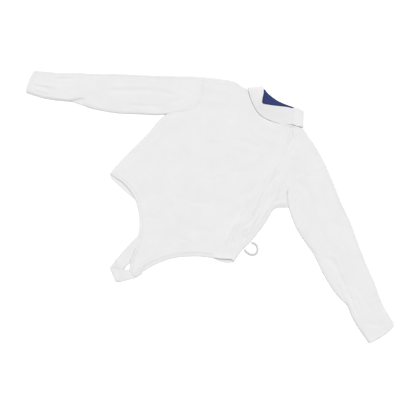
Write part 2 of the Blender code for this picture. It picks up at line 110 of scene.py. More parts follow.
def nearest_on(line, places):
    """Distance, side (+1 on its left) and share of its length at the line's nearest point."""
    line = np.asarray(line, float)
    steps = steps_of(line)
    gone = np.concatenate([[0.0], np.cumsum(steps)])
    best = np.full(len(places), 1e9)
    side, share = np.zeros(len(places)), np.zeros(len(places))
    for k, (a, b) in enumerate(zip(line, line[1:])):
        along = b - a
        t = np.clip((places - a) @ along / max(along @ along, 1e-12), 0.0, 1.0)
        off = places - a - t[:, None] * along
        far = np.hypot(off[:, 0], off[:, 1])
        nearer = far < best
        best = np.where(nearer, far, best)
        side = np.where(nearer, np.sign(along[0] * off[:, 1] - along[1] * off[:, 0]), side)
        share = np.where(nearer, (gone[k] + t * steps[k]) / gone[-1], share)
    return best, side, share


def creased(places, creases):
    """Height that the creases give at each place.

    A crease is its line, its height (below 0 for a hollow) and its reach left and right.
    """
    total = np.zeros(len(places))
    for line, height, left, right in creases:
        line = smooth_line(line, 4) if len(line) > 2 else np.array(line, float)
        reach = max(left, right)
        low, high = line.min(0) - reach, line.max(0) + reach
        near = np.all((places > low) & (places < high), axis=1)
        if not near.any():
            continue
        far, side, share = nearest_on(line, places[near])
        across = np.clip(far / np.where(side > 0, left, right), 0.0, 1.0)
        ends = ease(share / 0.25) * ease((1.0 - share) / 0.25)
        total[near] += height * ends * (1.0 - across ** 2) ** 2
    return total


def rumple(places, height, length, turn=0.0):
    """Uneven softness of cloth that has been worn: low waves of about one length."""
    x, y = places[:, 0] / length, places[:, 1] / length
    u = x * math.cos(turn) + y * math.sin(turn)
    v = y * math.cos(turn) - x * math.sin(turn)
    waves = (np.sin(5.1 * u + 2.0 * np.sin(2.3 * v)) + np.sin(4.3 * v + 1.7 * np.sin(3.1 * u + 1))
             + 0.6 * np.sin(7.9 * u - 5.3 * v))
    return height * waves / 2.6


# ---- reading the solids and pieces
def shape_of(piece, merge=0.0):
    """A copy of an object's mesh in millimetres, with a tree that rays are cast into."""
    bm = bmesh.new()
    bm.from_mesh(piece.data)
    bmesh.ops.scale(bm, vec=(1 / MM, 1 / MM, 1 / MM), verts=bm.verts)
    if merge:
        bmesh.ops.remove_doubles(bm, verts=bm.verts, dist=merge)
        bm.normal_update()
    return bm, BVHTree.FromBMesh(bm)


def height_at(tree, x, y, missing=None):
    """Height of the highest face at a place, or missing where there is none."""
    hit = tree.ray_cast(Vector((x, y, 99.0)), -UP)[0]
    return hit.z if hit else missing


def heights_along(piece, places, window, missing):
    """Upper heights of a piece at places along a line, evened by a window; missing off it."""
    shape, tree = shape_of(piece)
    shape.free()
    found = [height_at(tree, x, y, missing) for x, y in places]
    return np.convolve(np.pad(found, len(window) // 2, "edge"), window, "valid")


def plan_outline(bm, tree, step):
    """A node's outline from above, anticlockwise, evenly spaced and softened off its corners."""
    top = {face for face in bm.faces if face.normal.z > 0.02
           and tree.ray_cast(face.calc_center_median() + UP * 0.05, UP)[0] is None}
    ways = {}
    for edge in bm.edges:
        if sum(face in top for face in edge.link_faces) == 1:
            a, b = edge.verts
            ways.setdefault(a, []).append(b)
            ways.setdefault(b, []).append(a)
    loops = []
    while ways:
        loop, here = [], next(iter(ways))
        while here in ways:
            loop.append(here)
            here = next((v for v in ways.pop(here) if v in ways), None)
        loops.append(loop)
    loop = max(loops, key=len)
    ring = np.array([v.co[:2] for v in loop])
    x, y = ring[:, 0], ring[:, 1]
    if np.sum(x * np.roll(y, -1) - np.roll(x, -1) * y) < 0:
        ring = ring[::-1]
    before, after = ring - np.roll(ring, 1, 0), np.roll(ring, -1, 0) - ring
    turn = np.abs(np.degrees(np.arctan2(before[:, 0] * after[:, 1] - before[:, 1] * after[:, 0],
                                        (before * after).sum(1))))
    corners = [k for k in range(len(ring)) if turn[k] > CORNER] or [0]
    places = []
    for here, there in zip(corners, corners[1:] + [corners[0] + len(ring)]):
        stretch = np.array([ring[k % len(ring)] for k in range(here, there + 1)])
        stretch = spaced(stretch, max(int(round(steps_of(stretch).sum() / step)), 1))
        for _ in range(4):
            if len(stretch) > 3:
                stretch[1:-1] = (stretch[:-2] + 2 * stretch[1:-1] + stretch[2:]) / 4
        places.append(stretch[:-1])
    return np.vstack(places)


def outline_of(node, step=3.0):
    """A CAD node's outline from above, and the tree of its faces."""
    shape, tree = shape_of(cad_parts[node], MERGE)
    ring = plan_outline(shape, tree, step)
    shape.free()
    return ring, tree


def nearest_index(ring, place):
    """Index of the ring's point that is nearest to a place."""
    return int(np.argmin(np.hypot(*(ring - np.array(place, float)).T)))


def stretch_of(ring, start, end):
    """The ring's points from the one nearest start, anticlockwise, to the one nearest end."""
    a, b = nearest_index(ring, start), nearest_index(ring, end)
    return np.array([ring[k % len(ring)] for k in range(a, (b if b > a else b + len(ring)) + 1)])


def inside_of(ring, places):
    """True for the places that lie inside the ring."""
    inside = np.zeros(len(places), bool)
    x, y = places[:, 0], places[:, 1]
    for (ax, ay), (bx, by) in zip(ring, np.roll(ring, -1, 0)):
        if ay != by:
            crosses = (ay > y) != (by > y)
            inside ^= crosses & (x < (bx - ax) * (y - ay) / (by - ay) + ax)
    return inside


def fill(ring, rows, pitch):
    """Points and triangles over a ring: rows at set distances in from its edge, then a grid."""
    closed = np.vstack([ring, ring[:1]])
    along = np.roll(ring, -1, 0) - np.roll(ring, 1, 0)
    inward = np.stack([-along[:, 1], along[:, 0]], 1) / np.linalg.norm(along, axis=1)[:, None]
    places = [ring]
    for distance in rows:
        row = ring + inward * distance
        row = row[nearest_on(closed, row)[0] > 0.96 * distance]
        places.append(row[inside_of(ring, row)])
    low, high = ring.min(0), ring.max(0)
    xs, ys = np.arange(low[0], high[0], pitch), np.arange(low[1], high[1], pitch * 0.87)
    grid = np.array([(x + (0.5 * pitch if j % 2 else 0.0), y) for j, y in enumerate(ys)
                     for x in xs])
    grid = grid[inside_of(ring, grid)]
    far = nearest_on(closed, grid)[0]
    clear = np.full(len(grid), True)
    for distance in rows:
        clear &= np.abs(far - distance) > (0.45 * pitch if distance > 5 else 0.3 * pitch)
    grid = grid[clear & (far > min(rows) + 0.5)]
    points = np.vstack(places + [grid])
    made = delaunay_2d_cdt([Vector(p) for p in points], [], [list(range(len(ring)))], 1, 1e-6)
    return np.array([tuple(p) for p in made[0]]), np.array([tuple(f) for f in made[2]])


def heights_on(tree, places):
    """A solid's upper height at each place, from its nearest point where the place is off it."""
    found = [height_at(tree, x, y) for x, y in places]
    for k, (x, y) in enumerate(places):
        if found[k] is None:
            found[k] = tree.find_nearest(Vector((x, y, 9.0)))[0].z
    return np.array(found)


def softened(values, triangles, rounds):
    """Values averaged with their neighbours, over and over."""
    pairs = np.vstack([triangles[:, [0, 1]], triangles[:, [1, 2]], triangles[:, [2, 0]]])
    pairs = np.unique(np.sort(pairs, axis=1), axis=0)
    ways = np.bincount(pairs.ravel(), minlength=len(values)).astype(float)
    for _ in range(rounds):
        total = (np.bincount(pairs[:, 0], values[pairs[:, 1]], len(values))
                 + np.bincount(pairs[:, 1], values[pairs[:, 0]], len(values)))
        values = 0.5 * values + 0.5 * total / np.maximum(ways, 1)
    return values


# ---- making the meshes
def placed(name, data):
    """A new object of the scene, at the origin."""
    thing = bpy.data.objects.new(name, data)
    bpy.context.scene.collection.objects.link(thing)
    return thing


def finish_piece(name, vertices, faces, material, replaces=(), smooth=180.0):
    """A named object from points in millimetres, with its material, on the one body."""
    mesh = bpy.data.meshes.new(name)
    mesh.from_pydata((np.asarray(vertices, float) * MM).tolist(), [],
                     [list(map(int, face)) for face in faces])
    mesh.validate()
    piece = placed(name, mesh)
    mesh.materials.append(material)
    mesh.shade_smooth()
    if smooth < 180.0:
        mesh.set_sharp_from_angle(angle=math.radians(smooth))
    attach(piece, "root")
    if replaces:
        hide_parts(*replaces)
    return piece


def shell(top, bottom, triangles):
    """Points and faces of a closed thin shell between two sheets on the same triangles."""
    count = len(top)
    sides = [pair for a, b, c in triangles for pair in ((a, b), (b, c), (c, a))]
    known = set(sides)
    rim = [(a, b) for a, b in sides if (b, a) not in known]
    faces = [tuple(t) for t in triangles]
    faces += [(a + count, c + count, b + count) for a, b, c in triangles]
    faces += [(b, a, a + count, b + count) for a, b in rim]
    return np.vstack([top, bottom]), faces


def grid_faces(rows, count, closed=False):
    """Four-sided faces between rows of count points, and round each row where it is closed."""
    return [(k * count + j, k * count + (j + 1) % count, (k + 1) * count + (j + 1) % count,
             (k + 1) * count + j) for k in range(rows - 1) for j in range(count - (not closed))]


def upward(places, triangles):
    """The triangles, each turned so that it faces up."""
    a, b, c = (places[triangles[:, k]] for k in range(3))
    up = (b[:, 0] - a[:, 0]) * (c[:, 1] - a[:, 1]) - (b[:, 1] - a[:, 1]) * (c[:, 0] - a[:, 0])
    triangles = triangles.copy()
    triangles[up < 0] = triangles[up < 0][:, [0, 2, 1]]
    return triangles[np.abs(up) > 1e-7]


# ---- the materials
def linear(colour):
    """An sRGB hex colour as linear RGBA."""
    parts = [int(colour[k:k + 2], 16) / 255 for k in (1, 3, 5)]
    return (*[p / 12.92 if p <= 0.04045 else ((p + 0.055) / 1.055) ** 2.4 for p in parts], 1.0)


def add(tree, kind, inputs, **settings):
    """Add a node with its settings, each input set to a value or linked to a socket."""
    node = tree.nodes.new(kind)
    for name, value in settings.items():
        setattr(node, name, value)
    for name, value in inputs.items():
        if isinstance(value, bpy.types.NodeSocket):
            tree.links.new(value, node.inputs[name])
        else:
            node.inputs[name].default_value = value
    return node


def mixed(tree, kind, factor, a, b):
    """The mix of two numbers (FLOAT) or two colours (RGBA), as a socket."""
    return add(tree, "ShaderNodeMix", {"Factor": factor, "A": a, "B": b},
               data_type=kind).outputs["Result"]


def new_material(name, roughness, sheen=0.0, gloss=0.5):
    """A Principled material; returns it, its node tree and its shader."""
    material = bpy.data.materials.new(name)
    material.use_nodes = True
    shader = material.node_tree.nodes["Principled BSDF"]
    shader.inputs["Roughness"].default_value = roughness
    shader.inputs["Sheen Weight"].default_value = sheen
    shader.inputs["Sheen Roughness"].default_value = 0.5
    shader.inputs["Specular IOR Level"].default_value = gloss
    return material, material.node_tree, shader


def threads(tree, place, spacing, turn):
    """Straight threads of one spacing in metres, turned about Z: 0 in the gaps, 1 on top."""
    turned = add(tree, "ShaderNodeMapping", {"Vector": place, "Rotation": (0.0, 0.0, turn)})
    wave = add(tree, "ShaderNodeTexWave", {"Vector": turned.outputs["Vector"],
                                           "Scale": math.tau / (20.0 * spacing), "Distortion": 0.0},
               wave_type="BANDS", bands_direction="X", wave_profile="SIN")
    return wave.outputs["Fac"]


def woven(name, light, dark, spacing, turns, roughness, sheen, depth, cloud=0.07, gloss=0.5):
    """A woven cloth: two sets of threads in relief, turned in degrees, a soft uneven tone, and
    painted shade in the gaps.
    """
    material, tree, shader = new_material(name, roughness, sheen, gloss)
    place = add(tree, "ShaderNodeTexCoord", {}).outputs["Object"]
    first = threads(tree, place, spacing, math.radians(turns[0]))
    second = threads(tree, place, spacing * 1.6, math.radians(turns[1]))
    relief = mixed(tree, "FLOAT", 0.35, first, second)
    tone = add(tree, "ShaderNodeTexNoise", {"Vector": place, "Scale": 1.0 / cloud,
                                            "Detail": 3.0, "Roughness": 0.55}).outputs["Fac"]
    fuzz = add(tree, "ShaderNodeTexNoise", {"Vector": place, "Scale": 0.5 / spacing,
                                            "Detail": 2.0}).outputs["Fac"]
    worn = mixed(tree, "FLOAT", 0.3, tone, fuzz)
    ramp = add(tree, "ShaderNodeMapRange", {"Value": worn, "From Min": 0.3, "From Max": 0.7})
    colour = mixed(tree, "RGBA", ramp.outputs["Result"], linear(dark), linear(light))
    # painted shade: the gaps between the threads take the dark colour, as if shaded by the threads
    # beside them
    tree.links.new(mixed(tree, "RGBA", relief, linear(dark), colour), shader.inputs["Base Color"])
    bump = add(tree, "ShaderNodeBump", {"Height": relief, "Strength": 0.5, "Distance": depth})
    tree.links.new(bump.outputs["Normal"], shader.inputs["Normal"])
    return material


def make_materials():
    """The finishes: cotton twill, its sewing thread, the lining, zip tape and braid elastic."""
    return {
        # heavy cotton-polyester twill, washed: matt and bright, with a fine diagonal wale
        "twill": woven("white_cotton_twill", "#DADADA", "#D1D1D1", 0.0013, (27, -63),
                       0.88, 0.15, 0.00012),
        # the twill of the collar is cut on the other grain
        "band": woven("white_twill_band", "#DBDBDB", "#D1D1D1", 0.0013, (63, -27),
                      0.88, 0.15, 0.00012),
        # polyester lining, plain weave, dyed royal blue: its weave scatters most of the gloss
        "lining": woven("blue_polyester_lining", "#24356F", "#1B295B", 0.0009, (0, 90),
                        0.62, 0.0, 0.00006, cloud=0.03, gloss=0.25),
        # woven polyester zip tape: tighter and flatter than the twill
        "tape": woven("white_zip_tape", "#D8D8D6", "#C9C9C7", 0.0008, (18, -72),
                      0.7, 0.0, 0.00006),
        # braided rubber-cored elastic: duller, and greyer than the twill, the grey partly its own
        # and partly painted shade of the thin loop
        "elastic": woven("white_braid_elastic", "#D2D2D0", "#BEBEBC", 0.0016, (45, -45),
                         0.75, 0.1, 0.0003),
        # spun polyester sewing thread: a touch glossier than the cloth it lies on
        "thread": woven("white_sewing_thread", "#DEDEDE", "#CFCFCF", 0.0006, (30, -60),
                        0.6, 0.0, 0.00004),
    }


# ---- creases of the cloth
# Each crease: its line, its height in mm (below 0 for a hollow), its reach left and right of it
CHEST_CREASES = [
    ([(-330, 120), (-300, 146), (-260, 208), (-215, 242), (-150, 285)], -1.3, 14, 20),
    ([(-322, 170), (-282, 226), (-226, 262), (-150, 300)], 0.9, 22, 16),
    ([(-257, 205), (-219, 240), (-170, 275)], 0.7, 10, 16),
    ([(-156, 128), (-123, 154), (-84, 178)], -0.7, 8, 14),
    ([(-74, 211), (-16, 233), (40, 246)], -1.0, 9, 16),
    ([(-70, 188), (-12, 208), (34, 218)], 0.7, 14, 12),
    ([(21, 230), (44, 203), (60, 172)], -0.9, 12, 9),
    ([(-17, 105), (14, 135), (46, 156)], -0.8, 8, 14),
    ([(-62, 32), (-38, 58), (-16, 93)], -0.8, 9, 13),
    ([(-61, -63), (-31, -39), (9, -16)], -0.9, 8, 14),
    ([(-169, -193), (-138, -182), (-105, -167)], -0.8, 8, 12),
    ([(-33, -187), (16, -172), (67, -169)], -0.9, 7, 13),
    ([(-218, -81), (-213, -129), (-192, -180)], -1.1, 12, 18),
    ([(-236, -60), (-238, -116), (-222, -158)], 0.8, 16, 12),
    ([(-290, 40), (-230, 60), (-150, 30)], 0.6, 26, 30),
    ([(-300, -60), (-240, -30), (-170, -50)], -0.6, 20, 30),
    ([(-120, -60), (-60, -110), (20, -120)], 0.7, 24, 34),
    ([(-70, -230), (-58, -290), (-66, -345)], 0.8, 18, 14),
    ([(-100, -215), (-92, -262), (-96, -318)], -0.7, 10, 14),
    ([(-10, -150), (40, -110), (96, -100)], -0.7, 16, 20),
]
CLOSING_CREASES = [
    ([(108, 225), (126, 178), (146, 122), (163, 65)], -1.3, 8, 12),
    ([(84, 198), (108, 138), (129, 75), (146, 12)], 1.2, 12, 9),
    ([(92, 92), (102, 54), (113, 10)], 1.2, 10, 8),
    ([(86, 138), (98, 73), (117, 18)], -1.0, 8, 11),
    ([(154, 206), (177, 154), (187, 110)], -1.2, 8, 12),
    ([(69, 108), (88, 47), (108, -8)], -0.8, 10, 14),
    ([(129, 0), (138, -50), (151, -101)], -1.6, 8, 9),
    ([(142, 5), (160, -30), (178, -58)], -1.4, 7, 10),
    ([(156, 53), (163, 5), (172, -47)], 1.1, 9, 9),
    ([(168, 100), (174, 60), (178, 0)], 0.6, 8, 9),
    ([(112, 0), (116, -60), (128, -112)], 1.2, 10, 12),
    ([(130, 197), (143, 163), (154, 131)], 0.8, 9, 8),
    ([(64, 378), (73, 357), (83, 340), (92, 320), (98, 300)], -1.1, 6, 8),
    ([(120, 345), (132, 310), (140, 270)], 0.7, 16, 18),
    ([(150, 300), (176, 268), (190, 230)], -0.6, 12, 18),
]
BACK_CREASES = [
    ([(-230, 220), (-120, 120), (-40, -20)], 1.0, 26, 34),
    ([(190, 210), (110, 110), (60, -30)], 1.0, 30, 22),
    ([(-200, -60), (-80, -100), (60, -90)], 0.8, 20, 32),
    ([(-120, 310), (-20, 270), (80, 300)], 0.9, 30, 18),
    ([(-270, 60), (-210, 20), (-160, 40)], 0.7, 16, 22),
    ([(100, 40), (140, -10), (150, -70)], 0.8, 14, 20),
]
RIGHT_SLEEVE_CREASES = [
    ([(-752, -66), (-719, -49), (-684, -34)], -1.2, 8, 13),
    ([(-742, -54), (-708, -34), (-668, -14)], 0.9, 9, 7),
    ([(-738, -77), (-709, -68), (-676, -54)], -1.2, 6, 9),
    ([(-702, -2), (-675, 21), (-636, 50)], -1.3, 5, 9),
    ([(-551, 59), (-463, 129), (-371, 194)], -1.0, 10, 16),
    ([(-540, 88), (-456, 150), (-392, 196)], 0.8, 12, 12),
    ([(-443, 79), (-403, 107), (-340, 148)], -1.1, 8, 14),
    ([(-390, 184), (-358, 199), (-312, 213)], -1.2, 9, 16),
    ([(-660, 60), (-600, 92), (-560, 118)], -0.8, 8, 12),
    ([(-330, 176), (-310, 196), (-296, 226)], -0.8, 12, 12),
]
# Creases that run out over a sleeve's edge
RIGHT_SLEEVE_PINCHES = [
    ([(-616, -62), (-604, -36), (-593, -18), (-582, -3), (-566, 12)], -4.6, 8, 50),
    ([(-632, -66), (-619, -34), (-605, -10), (-588, 8)], 1.5, 26, 8),
]
LEFT_SLEEVE_PINCHES = [
    ([(674, 94), (662, 70), (652, 44)], -0.6, 8, 7),
    ([(330, 75), (350, 69), (368, 65), (386, 61), (402, 57), (412, 54)], -2.4, 6, 6),
    ([(672, 62), (688, 56), (706, 50), (726, 42)], -2.0, 7, 6),
    ([(732, 46), (743, 38), (752, 28)], -1.4, 5, 5),
]
LEFT_SLEEVE_CREASES = [
    ([(177, 242), (225, 221), (272, 199), (332, 148)], -1.5, 16, 10),
    ([(196, 262), (250, 240), (306, 212), (350, 176)], 1.0, 14, 16),
    ([(206, 190), (226, 168), (240, 140)], -0.9, 6, 6),
    ([(214, 190), (232, 170), (250, 136)], 1.0, 6, 8),
    ([(559, 28), (590, 13), (617, -6), (655, -31)], -2.3, 7, 9),
    ([(420, 62), (440, 68), (459, 75), (488, 67), (518, 50), (548, 34), (570, 14)], -1.9, 7, 11),
    ([(436, 84), (462, 92), (484, 84)], 1.1, 8, 8),
    ([(566, 8), (600, -8), (634, -30)], 1.6, 9, 9),
    ([(578, 46), (620, 26), (660, 2)], 1.2, 10, 12),
    ([(679, -29), (714, -16), (745, 12)], -1.0, 8, 12),
    ([(527, 23), (552, 7), (580, -11)], -1.6, 6, 8),
    ([(349, 143), (437, 96), (505, 54)], -0.9, 16, 12),
    ([(380, 160), (462, 122), (530, 84)], 0.8, 16, 16),
    ([(640, 76), (664, 58), (690, 30)], -1.6, 8, 8),
    ([(300, 110), (360, 92), (430, 66)], 0.7, 12, 14),
]


# ---- the panels
EDGE_ROWS = [0.35, 1.0, 2.0, 3.6]  # rows of points in from a panel's edge
HEM_RISE, HEM_STEP = 0.18, 1.5  # how much higher a turned hem lies, and over what width
SINK, SINK_REACH = 0.22, 0.9  # how deep stitching draws the cloth in, and how far
EDGE_REACH = 0.9  # reach of the rounding of a panel's edge
# Where one piece fills up to the edge of another that lies over it: the strip beside the edge,
# the gap left under it, where the rise begins before it, and where that ends and fades beyond
LAP_STRIP, LAP_GAP, LAP_BEFORE, LAP_FULL, LAP_FADE = (2.5, 6.0), 0.3, 3.0, 5.0, 16.0
CHEST_SHARE, CLOSING_SHARE, BACK_SHARE = 0.65, 1.9, 0.8  # of the tables' heights, on top
ON_BACK = 1.7  # height of what lies on the back panel
INSIDE = 1.6  # how far in from an edge its height is taken


class Hem:
    """A turned and stitched edge: the outline between two places, its fold and its stitching."""

    def __init__(self, ring, start, end, width, stitched):
        self.line = stretch_of(ring, start, end)
        self.width, self.stitched = width, stitched


def step_filled(places, top, edge, heights):
    """Rise of a piece just beyond the edge of the one over it, up to a little below that edge.

    It is measured on a strip beside the edge, begins under it and fades out beyond the strip.
    """
    near, side, share = nearest_on(edge, places)
    beyond = -side * near
    strip = np.flatnonzero((beyond > LAP_STRIP[0]) & (beyond < LAP_STRIP[1]))
    strip = strip[np.argsort(share[strip])]
    own = np.convolve(np.pad(top[strip], 4, "edge"), np.ones(9) / 9, "valid")
    wanted = np.interp(share, np.linspace(0.0, 1.0, len(heights)), heights) - LAP_GAP
    rise = wanted - np.interp(share, share[strip], own)
    return (rise * ease((beyond + LAP_BEFORE) / LAP_BEFORE)
            * (1.0 - ease((beyond - LAP_FULL) / LAP_FADE)))


def panel(name, node, finish, lift, drops, hems=(), sewn=(), meets=None, wall=WALL,
          rest=0.0, pitch=PITCH, rounds=30):
    """A flat-laid cloth piece on its CAD node's outline and height.

    lift(places, far) adds its creases; drops round its edges down: start, end, fall, reach and
    the share of the edge over which that begins; hems are start, end, width and the distances of
    their stitching; sewn edges keep their full height; meets is the edge of a piece over this
    one and the heights there, which this one rises to just beyond that edge; rest is the height
    of what the piece lies on. Returns the object, its outline and its hems.
    """
    ring, tree = outline_of(node)
    hems = [Hem(ring, *hem) for hem in hems]
    rows = list(EDGE_ROWS)
    for distance in sorted({d for hem in hems for d in hem.stitched}):
        rows += [distance - 1.1, distance, distance + 1.1]
    places, triangles = fill(ring, rows, pitch)
    triangles = upward(places, triangles)
    top = softened(heights_on(tree, places), triangles, rounds)
    closed = np.vstack([ring, ring[:1]])
    far = nearest_on(closed, places)[0]
    top += lift(places, far)
    if meets is not None:
        top += step_filled(places, top, *meets)
    bottom = top - wall
    for start, end, fall, reach, fade in drops:
        near, _, share = nearest_on(stretch_of(ring, start, end), places)
        top -= fall * (1.0 - rounded(near / reach)) * ease(share / max(fade, 1e-6))
    for hem in hems:
        near = nearest_on(hem.line, places)[0]
        top += HEM_RISE * ease((hem.width - near) / HEM_STEP + 1.0)
        for distance in hem.stitched:
            top -= SINK * np.exp(-((near - distance) / SINK_REACH) ** 2)
    rim = 1.0 - rounded(far / EDGE_REACH)
    for start, end in sewn:
        rim *= ease(nearest_on(stretch_of(ring, start, end), places)[0] / 1.2)
    top = np.maximum(top - 0.45 * wall * rim, rest + 0.45 * wall)
    bottom = np.minimum(bottom, top - 0.3 * wall) + 0.2 * wall * rim
    bottom = np.clip(bottom, rest, top - 0.1 * wall)
    vertices, faces = shell(np.column_stack([places, top]), np.column_stack([places, bottom]),
                            triangles)
    return finish_piece(name, vertices, faces, finish, [node]), ring, hems


def stitches(name, piece, lines, finish):
    """Short threads lying on a piece along lines in plan, one object."""
    shape, tree = shape_of(piece)
    shape.free()
    vertices, faces = [], []
    for line in lines:
        count = int(steps_of(line).sum() / STITCH)
        if count < 2:
            continue
        points = spaced(line, count)
        for a, b in zip(points, points[1:]):
            along = (b - a) / np.linalg.norm(b - a)
            aside = np.array([-along[1], along[0]])
            middle = (a + b) / 2
            marks = [height_at(tree, *(middle + along * STITCH_LENGTH * end))
                     for end in (-0.5, 0.5)]
            if None in marks or abs(marks[0] - marks[1]) > STEEPEST:
                continue
            base = len(vertices)
            for shift, height, swell in ((-0.5, marks[0], 0.0), (-0.3, marks[0], 1.0),
                                         (0.3, marks[1], 1.0), (0.5, marks[1], 0.0)):
                centre = middle + along * STITCH_LENGTH * shift
                half = aside * STITCH_WIDTH * 0.5 * max(swell, 0.35)
                vertices += [(*(centre + half), height + 0.02),
                             (*centre, height + 0.06 + 0.4 * swell),
                             (*(centre - half), height + 0.02),
                             (*centre, height - 0.15)]
            faces += [tuple(base + k for k in face) for face in grid_faces(4, 4, closed=True)]
            faces += [(base + 3, base + 2, base + 1, base),
                      (base + 12, base + 13, base + 14, base + 15)]
    return finish_piece(name, vertices, faces, finish)


def topstitching(name, piece, hems, finish):
    """The stitching of a panel's hems, without the points that crowd their corners."""
    lines = []
    for hem in hems:
        for distance in hem.stitched:
            moved = beside(hem.line, distance)
            lines.append(moved[nearest_on(hem.line, moved)[0] > 0.97 * distance])
    return stitches(name, piece, lines, finish)


def body_lift(places):
    """What the creases add to both layers of the body's upper side."""
    return (CHEST_SHARE * creased(places, CHEST_CREASES)
            + CLOSING_SHARE * creased(places, CLOSING_CREASES)
            + BACK_SHARE * creased(places, BACK_CREASES) + rumple(places, 0.2, 64.0, 0.5))


# Ends of edges that two pieces share
CLOSING_EDGE = ((176, -131), (65, 372))
RIGHT_ARMHOLE = ((-285, 321), (-313, 137))
BACK_HEM = ((-336, -157), (188, -135))
# Edges of the body along which the layers are fuller than the CAD's, past both of their ends
RIGHT_SHOULDER = [(-60, 412), (-138, 380), (-170, 377), (-203, 368), (-240, 347), (-285, 321),
                  (-340, 280)]
LEFT_SHOULDER = [(50, 404), (103, 386), (135, 375), (169, 364), (212, 346), (250, 327), (300, 298)]
NECK_CORNER = [(30, 357), (57, 369.5), (74, 375.5), (84, 380)]
RIGHT_SIDE = [(-296, 220), (-313, 137), (-322, 92), (-321, 62), (-329, 0), (-341, -87),
              (-348, -190), (-352, -260)]


def make_front(finish, thread):
    """The wide front panel with its crotch point, stitched twice along the point's side."""
    def lift(places, far):
        return body_lift(places) + creased(places, [
            ([(-352, -152), (-310, -146), (-280, -146), (-250, -154), (-215, -168),
              (-182, -196)], 2.0, 24, 24),  # right hem
            ([(112, -172), (142, -155), (170, -138), (204, -114)], 3.6, 20, 30),  # its mouth
            ([(-160, -222), (-131, -269), (-117, -298), (-106, -336), (-92, -380)], 2.8, 14, 14),
            ([(-120, -292), (-110, -322), (-104, -346), (-98, -372)], 2.4, 11, 11),
            (RIGHT_SHOULDER, 2.6, 22, 22), (RIGHT_SIDE, 2.3, 22, 22),
            (NECK_CORNER, 2.2, 8, 12)])
    drops = [((-313, 137), (-345, -149), 4.2, 4.2, 0.0),  # side
             (*RIGHT_ARMHOLE, 0.06, 1.5, 0.0),  # armhole
             ((50, 364), (-138, 380), 2.6, 5.0, 0.35),  # neck
             ((-88, -377), (-40, -340), 1.9, 10.0, 0.0),  # the point's end, on the strap
             ((-176, -203), (-88, -377), 3.6, 5.0, 0.5),  # the point's side, over the strap
             ((-345, -149), (-176, -203), 1.6, 6.0, 0.0),  # right hem
             ((-138, 380), (-285, 321), 4.4, 4.2, 0.0)]  # shoulder
    hems = [((-345, -149), (-176, -203), 16.0, (13.0,)),
            ((-176, -203), (-88, -377), 15.0, (10.5, 13.5)),
            ((-56, -385), (176, -131), 16.0, (13.0,)),
            (*CLOSING_EDGE, 12.0, (9.0,))]
    sewn = [RIGHT_ARMHOLE, ((172, -118), CLOSING_EDGE[1])]
    piece, ring, hems = panel("front_panel_cloth", "front_panel", finish, lift,
                              drops, hems, sewn=sewn, rest=ON_BACK)
    thread_piece = topstitching("front_topstitching", piece, hems, thread)
    return piece, ring


def make_side_front(front, front_ring, finish):
    """The narrow side front under the closing edge."""
    edge = stretch_of(front_ring, *CLOSING_EDGE)
    heights = heights_along(front, beside(spaced(edge, 120), INSIDE), np.ones(5) / 5, 5.5)

    def lift(places, far):
        return body_lift(places) + creased(places, [
            (LEFT_SHOULDER, 2.6, 22, 22), (NECK_CORNER, 2.2, 8, 12),
            ([(168, 104), (184, 132), (196, 162)], -0.7, 10, 14)])  # under the arm
    drops = [((188, -135), (227, 134), 1.6, 4.0, 0.0),  # side
             ((190, 101), (227, 134), 3.6, 15.0, 0.2),  # under the arm
             ((227, 134), (191, 176), 3.6, 5.5, 0.0),  # armhole, where the sleeve folds
             ((191, 176), (250, 327), 0.06, 1.5, 0.0),  # armhole, upper part
             ((250, 327), (103, 386), 4.4, 4.2, 0.0)]  # shoulder
    hems = [((171, -128), (188, -135), 14.0, (11.0,))]
    piece = panel("side_front_cloth", "side_front_panel", finish, lift, drops,
                  hems, sewn=[((191, 178), (250, 327))], meets=(edge, heights), rest=ON_BACK)[0]
    return piece


def make_back(finish, thread):
    """The back panel, its outer face down on the surface."""
    def lift(places, far):
        return (creased(places, BACK_CREASES) + rumple(places, 0.2, 70.0) + 0.2) * ease(far / 25)
    piece, _, hems = panel("back_panel_cloth", "back_panel", finish, lift,
                           [(*BACK_HEM, 0.3, 2.0, 0.0)], [(*BACK_HEM, 16.0, (13.0,))])
    thread_piece = topstitching("back_topstitching", piece, hems, thread)


def make_lining(finish):
    """The blue lining inside the collar's back half."""
    def lift(places, far):
        return rumple(places, 0.25, 30.0, 0.9) * ease(far / 6)
    piece = panel("collar_lining_cloth", "collar_lining", finish, lift, [],
                  wall=1.0, rest=2.6, pitch=3.0, rounds=8)[0]


def make_zip_tape(finish):
    """The zip tape along the side front's edge, between the front and the back."""
    piece = panel("zip_tape_cloth", "zip_tape", finish,
                  lambda places, far: 0.0 * far, [], wall=1.2, rest=1.75, pitch=5.0, rounds=4)[0]


# ---- the sleeves
SLEEVE_EDGE = [0.0, 0.25, 0.8, 1.7, 3.0, 4.8, 7.2, 10.0, 13.5]  # points in from each edge
SLEEVE_MIDDLES = 34  # points between them, with the innermost of both
TUBE_MIDDLE = 1.8  # where the tube's upper and lower sides meet at its edges
TOP_REACH, TOP_SLOPE = 3.6, 0.85  # the top fold's reach, and how far it is a plain slope
CROWN = 1.2  # extra height in the sleeve's middle
CUFF_HEM = 14.0  # from the cuff to its line of stitching
TUBE_ROOM = 3.3  # least height over its lower side: two walls and the air between them
FOLD_BLEND, CREASE_BLEND = 12.0, 7.0  # in from an edge, where its own height and creases begin
SEAM_BLEND = 18.0  # on from the armhole, where the body's height gives way to the sleeve's
SEAM_SINK, SEAM_REACH = 0.07, 1.3  # the armhole's seam
SEAM_LAP, PIT_REACH = 0.28, 6.0  # how far it meets the body's edge, and reach of the gap's sides
CUFF_RISE, CUFF_SINK = 0.5, 0.4  # the cuff's hem and its line of stitching
UNDER_REACH, UNDER_SHIFT, UNDER_SHARE = 2.5, 13.0, 0.8  # the lower side's edges and creases
